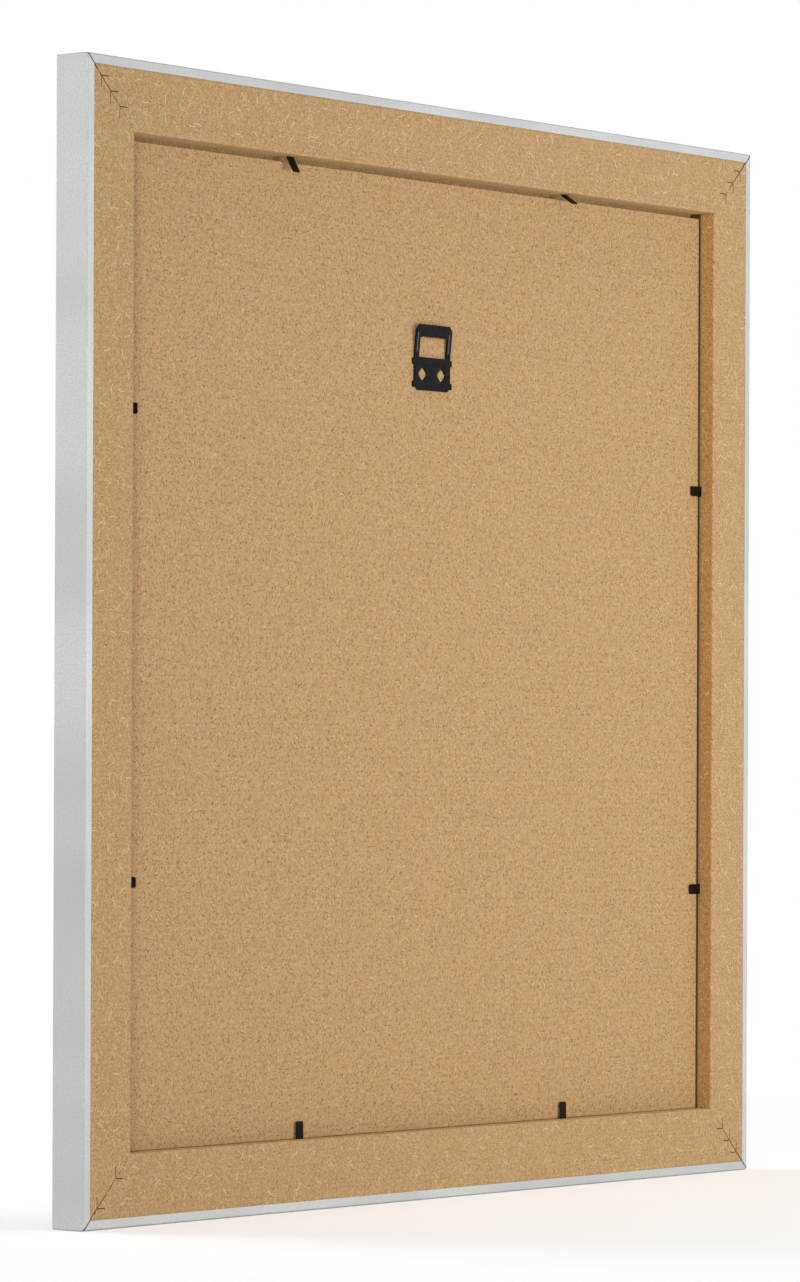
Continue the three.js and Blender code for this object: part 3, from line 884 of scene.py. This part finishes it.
flex_points = {}
flex_slots = []
for body, joint in joint_of.items():
    place = body[len("tab_"):]
    flex_points[place] = flex_strip("flex_point_" + place, joint)
    flex_slots.append(flex_strip("slot_" + place, joint, slot_gap))
print("flex points", sorted(flex_points), "tab length in mm", *in_mm(tab_length))

# %% Cut the slots into the rails
for side, rail in rails.items():
    own_slots = [slot for slot in flex_slots if slot.name.startswith(f"slot_{side}")]
    cut(rail, [nail_slots, *own_slots])
    print(rail.name, len(rail.data.polygons), "faces after cutting")
remove(nail_slots, *flex_slots)

# %% [markdown]
# ## The hanger
# The hanger is a stamped steel plate. Its foot lies flat on the panel and is fixed by two crowns. From the
# foot of its window on the plate leans away from the panel, so that a nail's head fits behind the rim,
# whose lower edge is a row of teeth. A rib pressed into each leg runs round into the rim and stiffens
# it. A flat outline with holes is drawn first, as a press would blank it. It is then sliced where it
# has to bend, lifted, given its thickness, and its edges are rounded.

# %% Hanger sizes
hanger_low, hanger_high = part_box("hanger")
hanger_x = (hanger_low.x + hanger_high.x) / 2
plate_thickness = 1.0 * MM
standoff = hanger_high.y - panel_back - plate_thickness
ear_reach = 1.4 * MM
half_plate = (hanger_high.x - hanger_low.x) / 2 - ear_reach
rim_top = hanger_high.z
plate_bottom = hanger_low.z
plate_corner = 2.5 * MM
ear_height = 3.2 * MM
ear_levels = (-13.5 * MM, -25.6 * MM)
window_half = 11.7 * MM
window_bottom = -11.2 * MM
tooth_pitch = 2.3 * MM
tooth_depth = 0.9 * MM
crown_centres = (-8.0 * MM, 8.0 * MM)
crown_level = -20.1 * MM
crown_apothem = 2.6 * MM
crown_roll = 0.7 * MM
crown_dish = 0.6 * MM
dish_depth = 0.2 * MM
crown_rim = crown_apothem + crown_roll + crown_dish
outer_corner = 1.3 * MM
inner_corner = 1.2 * MM
print("hanger stands off by", *in_mm(standoff), "mm")

# %% Hanger outlines
CORNER_STEPS = 4


def plate_outline():
    """The blank's outer edge: clipped corners and two small ears on each side."""
    right = [(half_plate - plate_corner, rim_top), (half_plate, rim_top - plate_corner)]
    for level in ear_levels:
        for reach, lift in ((0, 1), (ear_reach, 1), (ear_reach, -1), (0, -1)):
            right.append((half_plate + reach, level + lift * ear_height / 2))
    right += [(half_plate, plate_bottom + plate_corner), (half_plate - plate_corner, plate_bottom)]
    left = [(-x, z) for x, z in reversed(right)]
    return right + left


def window_outline():
    """The window, whose upper edge is the row of teeth."""
    count = int((window_half - tooth_pitch / 2) / tooth_pitch)
    points = [(window_half, window_bottom), (-window_half, window_bottom), (-window_half, -tooth_depth)]
    for notch in range(-count, count + 1):
        points.append(((notch - 0.5) * tooth_pitch, -tooth_depth))
        points.append((notch * tooth_pitch, 0))
    points += [((count + 0.5) * tooth_pitch, -tooth_depth), (window_half, -tooth_depth)]
    return points


def crown_side(apothem, corner):
    """One side of a square with rounded corners, square to +X, with half of the corner at each end."""
    inset = apothem - corner
    points = []
    for sign in (-1, 1):
        for step in range(CORNER_STEPS + 1):
            angle = math.radians(45 * (step / CORNER_STEPS - (sign < 0)))
            points.append((inset + corner * math.cos(angle), sign * inset + corner * math.sin(angle)))
    return points


def crown_hole(centre_x):
    """The hole of a crown, with its corners up, down, left and right."""
    points = []
    for side in range(4):
        turn = Matrix.Rotation(math.radians(45 + 90 * side), 2)
        turned = [turn @ Vector(point) for point in crown_side(crown_rim, outer_corner)]
        points += [(centre_x + x, crown_level + z) for x, z in turned[:-1]]
    return points


blank = [plate_outline(), window_outline(), *(crown_hole(x) for x in crown_centres)]
print("outlines of the blank", [len(outline) for outline in blank], "points")

# %% The height of the plate over the panel
bend_half = 1.0 * MM
rib_x = 13.4 * MM
rib_half = 0.85 * MM
rib_flank = 0.55 * MM
rib_height = 0.166 * MM
rib_foot = -8.3 * MM
rib_turn = 3.0 * MM
rib_top = rim_top - 2.1 * MM
rib_bend = rib_top - rib_turn
rib_end = 8.0 * MM
coin_height = 1.2 * MM
coin_depth = 0.55 * MM
coin_bottom = -1.1 * tooth_depth


def rib_rise(x, z):
    """Height of the pressed rib: up the middle of a leg, round a bend and fading out along the rim. Its
    flanks are straight, so that each shines as one line."""
    centre = Vector((rib_x - rib_turn, rib_bend))
    spot = Vector((abs(x), z))
    if spot.y <= centre.y:
        beside = (spot - Vector((rib_x, max(spot.y, rib_foot)))).length
    elif spot.x <= centre.x:
        beside = abs(spot.y - rib_top)
    else:
        beside = abs((spot - centre).length - rib_turn)
    fade = min(1.0, max(0.0, (spot.x - rib_end) / (centre.x - rib_end)))
    return rib_height * fade * min(1.0, max(0.0, (rib_half - beside) / rib_flank))


def plate_height(x, z):
    """Height of the plate's underside over the panel: flat foot, a soft bend, and a straight lean."""
    slope = standoff / (rim_top - window_bottom)
    above = z - window_bottom
    if above < -bend_half:
        return 0.0
    if above < bend_half:
        return slope * (above + bend_half) ** 2 / (4 * bend_half)
    return slope * above + rib_rise(x, z)


def thickness_at(x, z):
    """The plate's thickness, less towards the teeth, which are coined thin from behind."""
    coined = 0.0
    if coin_bottom < z < coin_height and abs(x) < window_half:
        coined = min(1.0, 1 - z / coin_height)
    return plate_thickness - coin_depth * coined


print("height of the rim's top edge in mm", *in_mm(plate_height(0, rim_top)))

# %% Blank, slice and bend the plate
bend_slice = 0.35 * MM
foot_slice = 0.14 * MM
leg_slice = 1.2 * MM
leg_start = rib_foot + 1 * MM
turn_slice = 0.2 * MM
rim_slice = 0.25 * MM
BLANK_WELD = 1e-6
FLAT_ANGLE = 0.01


def flat_blank(name, outlines):
    """Fills closed outlines in X and Z, the first one outside and the others as holes."""
    drawn = closed_curve(name, outlines, "2D")
    drawn.data.fill_mode = "FRONT"
    depsgraph = bpy.context.evaluated_depsgraph_get()
    mesh = bpy.data.meshes.new_from_object(drawn.evaluated_get(depsgraph))
    remove(drawn)
    mesh.transform(Matrix.Rotation(math.pi / 2, 4, "X"))
    return mesh


def steps(low, high, size):
    """Evenly spaced values from low to high, about this far apart."""
    count = max(1, round((high - low) / size))
    return [low + (high - low) * step / count for step in range(count + 1)]


def slices():
    """Planes that cut the leaning part where it bends: finely at the rib's ends, coarsely between."""
    rows = [*steps(window_bottom - bend_half, window_bottom + bend_half, bend_slice),
            *steps(rib_foot - rib_half, rib_foot, foot_slice), *steps(leg_start, rib_bend, leg_slice),
            coin_height, *steps(rib_bend + turn_slice, rib_top + rib_half, turn_slice)]
    columns = [*steps(rib_end, rib_x - rib_half, rim_slice),
               *steps(rib_x - rib_half, rib_x + rib_half, foot_slice)]
    planes = [(Vector((0, 0, level)), Vector((0, 0, 1))) for level in rows]
    for x in columns:
        planes += [(Vector((sign * x, 0, 0)), Vector((1, 0, 0))) for sign in (-1, 1)]
    return planes


def sliced_plate():
    """The plate's face as a sheet: blanked, sliced and lifted."""
    mesh = flat_blank("hanger", blank)
    with edited(mesh) as work:
        bmesh.ops.remove_doubles(work, verts=work.verts, dist=BLANK_WELD)
        bmesh.ops.dissolve_limit(work, angle_limit=FLAT_ANGLE, verts=work.verts, edges=work.edges)
        for spot, direction in slices():
            leaning = [face for face in work.faces
                       if direction.z or face.calc_center_median().z > window_bottom - bend_half]
            around = {edge for face in leaning for edge in face.edges}
            corners = {vertex for face in leaning for vertex in face.verts}
            bmesh.ops.bisect_plane(work, geom=[*corners, *around, *leaning], plane_co=spot,
                                   plane_no=direction, dist=WELD_DISTANCE)
        bmesh.ops.triangulate(work, faces=work.faces)
        for vertex in work.verts:
            vertex.co.y = panel_back + plate_thickness + plate_height(vertex.co.x, vertex.co.z)
    return mesh


plate = new_object("hanger_shaped", sliced_plate())
print("plate blank", len(plate.data.polygons), "faces")

# %% Thickness and rounded edges
press_edge = 0.12 * MM
sharp_angle = math.radians(50)
crown_clear = 1.4 * crown_rim


def at_crown(first, second):
    """Whether an edge lies on the hole of a crown, where the crown's own sides are welded on later."""
    spot = (first.co + second.co) / 2
    return any(Vector((spot.x - x, spot.z - crown_level)).length < crown_clear for x in crown_centres)


def thicken(piece):
    """Makes the sheet a plate: a second sheet under it, and walls along its free edges but the crowns'."""
    with edited(piece.data) as work:
        face_side = list(work.faces)
        free_edges = [edge.verts[:] for edge in work.edges if edge.is_boundary]
        under = {vertex: work.verts.new(vertex.co - Vector((0, thickness_at(vertex.co.x, vertex.co.z), 0)))
                 for vertex in list(work.verts)}
        for face in face_side:
            work.faces.new([under[vertex] for vertex in reversed(face.verts)])
        for first, second in free_edges:
            if not at_crown(first, second):
                work.faces.new((first, second, under[second], under[first]))
    return settle(piece)


def round_edges(piece):
    """Rounds the edges that the press left sharp, but not those where a crown goes on."""
    with edited(piece.data) as work:
        weight = work.edges.layers.float.new("bevel_weight_edge")
        for edge in work.edges:
            edge[weight] = float(edge.calc_face_angle(0) > sharp_angle and not at_crown(*edge.verts))
    return soften(piece, press_edge, limit_method="WEIGHT", use_clamp_overlap=False)


plate.data.materials.clear()
plate.data.materials.append(black_coat)
round_edges(thicken(plate))
plate.data.transform(Matrix.Translation((hanger_x, 0, 0)))
print("plate", len(plate.data.polygons), "faces", in_mm(*plate.dimensions))

# %% [markdown]
# ### Crowns
# A crown is a square hole, set on its corner, that was punched through without losing any metal: its four
# sides dip, roll over and end as four points, pressed into the panel. One side is modelled, as a band drawn
# through rings that go from the plate's face over the roll and down. The tree of turned copies sets eight
# of them round the two holes, and the copies of the point, a hair larger, cut their pockets in the panel.

# %% The crowns' sides and points
ROLL_STEPS = 7
point_thickness = 0.5 * MM
point_length = 2.0 * MM
point_root = 0.1 * MM
point_half = 0.75 * crown_apothem
tip_half = 0.2 * MM
pocket_gap = 0.04 * MM


def band(work, rings, closed):
    """Faces between one ring of points and the next, each ring closed or open."""
    made = [[work.verts.new(point) for point in ring] for ring in rings]
    for upper, lower in zip(made, made[1:]):
        for spot in range(len(upper) if closed else len(upper) - 1):
            following = (spot + 1) % len(upper)
            work.faces.new((upper[spot], upper[following], lower[following], lower[spot]))
    return made


def add_side(work):
    """The dished and rolled side of a crown, from the plate's face to its underside. It meets the plate and
    the sides next to it at its open edges."""
    top = panel_back + plate_thickness
    outlines = [(crown_rim, outer_corner, top)]
    for step in range(ROLL_STEPS + 1):
        angle = math.radians(90 * step / ROLL_STEPS)
        corner = outer_corner + (inner_corner - outer_corner) * step / ROLL_STEPS
        apothem = crown_apothem + crown_roll * (1 - math.sin(angle))
        outlines.append((apothem, corner, top - dish_depth - crown_roll * (1 - math.cos(angle))))
    outlines += [(crown_apothem, inner_corner, panel_back), (crown_rim, outer_corner, panel_back)]
    band(work, [[(x, level, z) for x, z in crown_side(apothem, corner)]
                for apothem, corner, level in outlines], closed=False)


def add_point(work, margin):
    """The point of a side, tapering into the panel."""
    inner = crown_apothem - margin
    outer = crown_apothem + point_thickness + margin
    rings = []
    for level, half in ((panel_back + point_root, point_half), (panel_back - point_length, tip_half)):
        rings.append([(x, level, sign * (half + margin))
                      for x, sign in ((inner, -1), (inner, 1), (outer, 1), (outer, -1))])
    made = band(work, rings, closed=True)
    work.faces.new(made[0])
    work.faces.new(made[-1])


def crowns(name, margin):
    """Both crowns as one piece, or the pockets of their points when a margin is given."""
    mesh = bpy.data.meshes.new(name + "_model")
    with edited(mesh) as work:
        if not margin:
            add_side(work)
        add_point(work, margin)
    model = new_object(name + "_model", mesh)
    places = [(Vector((hanger_x + x, 0, crown_level)), math.radians(45 + 90 * side))
              for x in crown_centres for side in range(4)]
    piece = run_tree(name, turned_copies, turned_points(name, places), Copy=model, Material=black_coat)
    remove(model)
    return piece


def weld(piece, other):
    """Adds another piece's mesh to a piece and joins them where their edges meet."""
    with edited(piece.data) as work:
        work.from_mesh(other.data)
    remove(other)
    return settle(piece)


weld(plate, crowns("crowns", 0.0))
print("hanger", len(plate.data.polygons), "faces")

# %% [markdown]
# ## The pack: panel, paper and glass
# The panel is a sheet cut on a panel saw: its edges are crisp, with the least rounding from handling. The
# points of the crowns sit in pockets that they pressed themselves. In front of it lie the paper and the
# glass, whose edges are taken off with a stone. Faces that touch would fight for the same light rays, so
# each of those two is a few hundredths of a millimetre thinner than its CAD node.

# %% The panel, its pockets and the sheets
panel_edge = 0.15 * MM
glass_edge = 0.25 * MM
paper_edge = 0.1 * MM
AIR = Vector((0, 0.03 * MM, 0))


def board(name, low, high, rounding_width, material):
    """A flat board between two corners, with its edges rounded."""
    mesh = bpy.data.meshes.new(name)
    mesh.materials.append(material)
    with edited(mesh) as work:
        bmesh.ops.create_cube(work, size=1.0)
        for vertex in work.verts:
            vertex.co = [(a + b) / 2 + (b - a) * v for a, b, v in zip(low, high, vertex.co)]
    return soften(new_object(name, mesh), rounding_width)


def sheet(node_name, rounding_width, material):
    """A sheet of the pack, with air to its neighbours."""
    low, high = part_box(node_name)
    return board(node_name + "_shaped", low + AIR, high - AIR, rounding_width, material)


panel = board("back_panel_shaped", *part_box("back_panel"), panel_edge, fibreboard)
pane = sheet("glazing", glass_edge, glass)
insert = sheet("insert_sheet", paper_edge, paper)
pockets = crowns("pockets", pocket_gap)
cut(panel, [pockets])
remove(pockets)
for piece in (panel, pane, insert):
    print(piece.name, len(piece.data.polygons), "faces")

# %% [markdown]
# ## Hand the pieces over
# Each piece but the flex points is hung on an empty for the frame's body, and the CAD nodes that it stands
# for are hidden. The flex points keep their place, and their shank and tab nodes are hidden.


def hand_over(piece, slot, *nodes):
    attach(piece, "frame")
    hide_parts(*nodes)


for side in turns:
    hand_over(rails[side], "mdf", "rail_" + side)
    hand_over(foils[side], "silver_foil", "foil_" + side)
hand_over(v_nails, "nail_steel", *nail_nodes)
hand_over(plate, "black_steel", "hanger")
hand_over(panel, "fibreboard", "back_panel")
hand_over(pane, "clear_glass", "glazing")
hand_over(insert, "plain_paper", "insert_sheet")
for place, strip in flex_points.items():
    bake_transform(strip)
    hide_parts("flex_shank_" + place, "flex_tab_" + place)

# %% [markdown]
# ## Floor and light
# The frame stands on a pale floor before a white ground. The floor takes its shadow, and fades to plain
# white about a metre away, so that no horizon shows. The key light is a tall soft box to the right of the
# camera, level with the frame, so the panel gets a little lighter to the right. A window far to the left
# lights the outer side, and the left rail keeps its light off a narrow band of the panel. Light from above
# draws the shadow, and the white floor lights what faces down. One more light is for views of the picture
# side. Each light's power is worked out from the share of full light that it gives a surface facing it, so
# that together they show colours about as they are written.

# %% Floor and white ground
WHITE = (1, 1, 1, 1)
FLOOR_BOUNCE = 0.12
FLOOR_GLOW = 0.24
FADE_START, FADE_END = 0.55, 1.15
AMBIENT_LOW, AMBIENT_HIGH = 0.05, 0.45
floor_half = 6.0
floor_level = cad_low.z - 0.2 * MM


def camera_like_rays(tree):
    """1 for rays from the camera and for those that mirrors and glass send on, else 0."""
    path = add(tree, "ShaderNodeLightPath").outputs
    seen = path["Is Camera Ray"]
    for kind in ("Is Glossy Ray", "Is Transmission Ray"):
        seen = add(tree, "ShaderNodeMath", {0: seen, 1: path[kind]}, operation="MAXIMUM")
    return seen


def pale_floor():
    """White floor paper: almost white to the eye, but it still takes the object's soft shadow."""
    material, tree, place = new_material("floor_paper")
    matt = add(tree, "ShaderNodeBsdfDiffuse", {0: colour("#EDEDED")})
    bounce = add(tree, "ShaderNodeEmission", {0: WHITE, 1: FLOOR_BOUNCE})
    glow = add(tree, "ShaderNodeEmission", {0: WHITE, 1: FLOOR_GLOW})
    white = add(tree, "ShaderNodeEmission", {0: WHITE, 1: 1.0})
    distance = add(tree, "ShaderNodeVectorMath", {0: place}, operation="LENGTH").outputs["Value"]
    soft = add(tree, "ShaderNodeAddShader", {0: matt, 1: bounce})
    lit = add(tree, "ShaderNodeAddShader", {0: matt, 1: glow})
    far = zone(tree, distance, FADE_START, FADE_END)
    faded = add(tree, "ShaderNodeMixShader", {0: far, 1: lit, 2: white})
    shown = add(tree, "ShaderNodeMixShader", {0: camera_like_rays(tree), 1: soft, 2: faded})
    add(tree, "ShaderNodeOutputMaterial", {"Surface": shown})
    return material


def white_ground():
    """A world that is white to the eye, and lights the object softly from above."""
    world = bpy.data.worlds.new("white_ground")
    world.use_nodes = True
    tree = world.node_tree
    tree.nodes.clear()
    direction = add(tree, "ShaderNodeTexCoord").outputs["Generated"]
    height = add(tree, "ShaderNodeSeparateXYZ", {0: direction}).outputs[2]
    level = add(tree, "ShaderNodeMapRange", {0: height, 1: 0.0, 2: 1.0, 3: AMBIENT_LOW, 4: AMBIENT_HIGH})
    soft = add(tree, "ShaderNodeBackground", {0: WHITE, 1: level})
    white = add(tree, "ShaderNodeBackground", {0: WHITE, 1: 1.0})
    shown = add(tree, "ShaderNodeMixShader", {0: camera_like_rays(tree), 1: soft, 2: white})
    add(tree, "ShaderNodeOutputWorld", {0: shown})
    return world


floor_mesh = bpy.data.meshes.new("floor")
floor_mesh.from_pydata([(sx * floor_half, sy * floor_half, floor_level)
                        for sx, sy in ((-1, -1), (1, -1), (1, 1), (-1, 1))], [], [(0, 1, 2, 3)])
floor_mesh.materials.append(pale_floor())
new_object("floor", floor_mesh)
bpy.context.scene.world = white_ground()
print("floor at", *in_mm(floor_level), "mm")

# %% Soft lights
middle = Vector((0, 0, centre_z))
WINDOW_DISTANCE = 3.0


def lamp_at(name, kind, direction, distance):
    """A light that shines on the middle of the frame from a direction, and isn't seen itself."""
    holder = new_object(name, bpy.data.lights.new(name, kind))
    towards = Vector(direction).normalized()
    holder.location = middle + towards * distance
    holder.rotation_mode = "QUATERNION"
    holder.rotation_quaternion = towards.to_track_quat("Z", "Y")
    holder.visible_camera = False
    return holder


def far_window(name, direction, level, width_degrees):
    """A far soft light that gives a surface facing it this share of full light, wherever it is."""
    holder = lamp_at(name, "SUN", direction, WINDOW_DISTANCE)
    holder.data.energy = level * math.pi
    holder.data.angle = math.radians(width_degrees)
    return holder


def softbox(name, direction, distance, width, height, level):
    """A soft light box that gives the frame's middle this share of full light when it faces it."""
    holder = lamp_at(name, "AREA", direction, distance)
    holder.data.shape = "RECTANGLE"
    holder.data.size = width
    holder.data.size_y = height
    holder.data.energy = level * math.pi ** 2 * distance ** 2
    return holder


lights = [
    softbox("key_light", (-0.36, 1.0, 0.0), distance=1.2, width=0.16, height=0.34, level=0.39),
    far_window("top_light", (0.0, 0.1, 1.0), level=0.3, width_degrees=20),
    far_window("left_window", (0.857, 0.515, 0.05), level=0.45, width_degrees=16),
    softbox("front_light", (0.3, -1.0, 0.5), distance=3.0, width=2.0, height=2.0, level=0.45),
]
print("lights", [light.name for light in lights])

# %% [markdown]
# ## The camera
# The camera stands where the photograph was taken from. Its place, its turn and its focal length were found
# by fitting a square frame to the edges in the picture. The picture was taken level and from a little below
# the middle, so the view is shifted up and not tilted, which keeps upright edges upright.

# %% The camera, where the photograph was taken from
IMAGE_HEIGHT = 1282
SENSOR_MM = 36.0
FAR_LIMIT = 50.0
focal_pixels = 5728.1
axis_below_middle = 128.84
yaw = math.radians(37.6127)
roll = math.radians(0.2264)
camera_place = Vector((2392.33, 1815.46, -61.58)) * MM + middle
camera_data = bpy.data.cameras.new("photo_camera")
camera_data.sensor_fit = "AUTO"
camera_data.sensor_width = SENSOR_MM
camera_data.lens = focal_pixels / IMAGE_HEIGHT * SENSOR_MM
camera_data.shift_y = axis_below_middle / IMAGE_HEIGHT
camera_data.clip_end = FAR_LIMIT
camera = new_object("photo_camera", camera_data)
bpy.context.scene.camera = camera
right = Vector((-math.sin(yaw), math.cos(yaw), 0)).normalized()
forward = Vector((-math.cos(yaw), -math.sin(yaw), 0)).normalized()
right_rolled = right * math.cos(roll) + Vector((0, 0, math.sin(roll)))
up_rolled = right_rolled.cross(forward)
turn = Matrix((right_rolled, up_rolled, -forward)).transposed().to_4x4()
camera.matrix_world = Matrix.Translation(camera_place) @ turn
bpy.context.scene.view_settings.view_transform = "Standard"
print("camera at", [round(v, 3) for v in camera_place], "lens", round(camera_data.lens, 2), "mm")
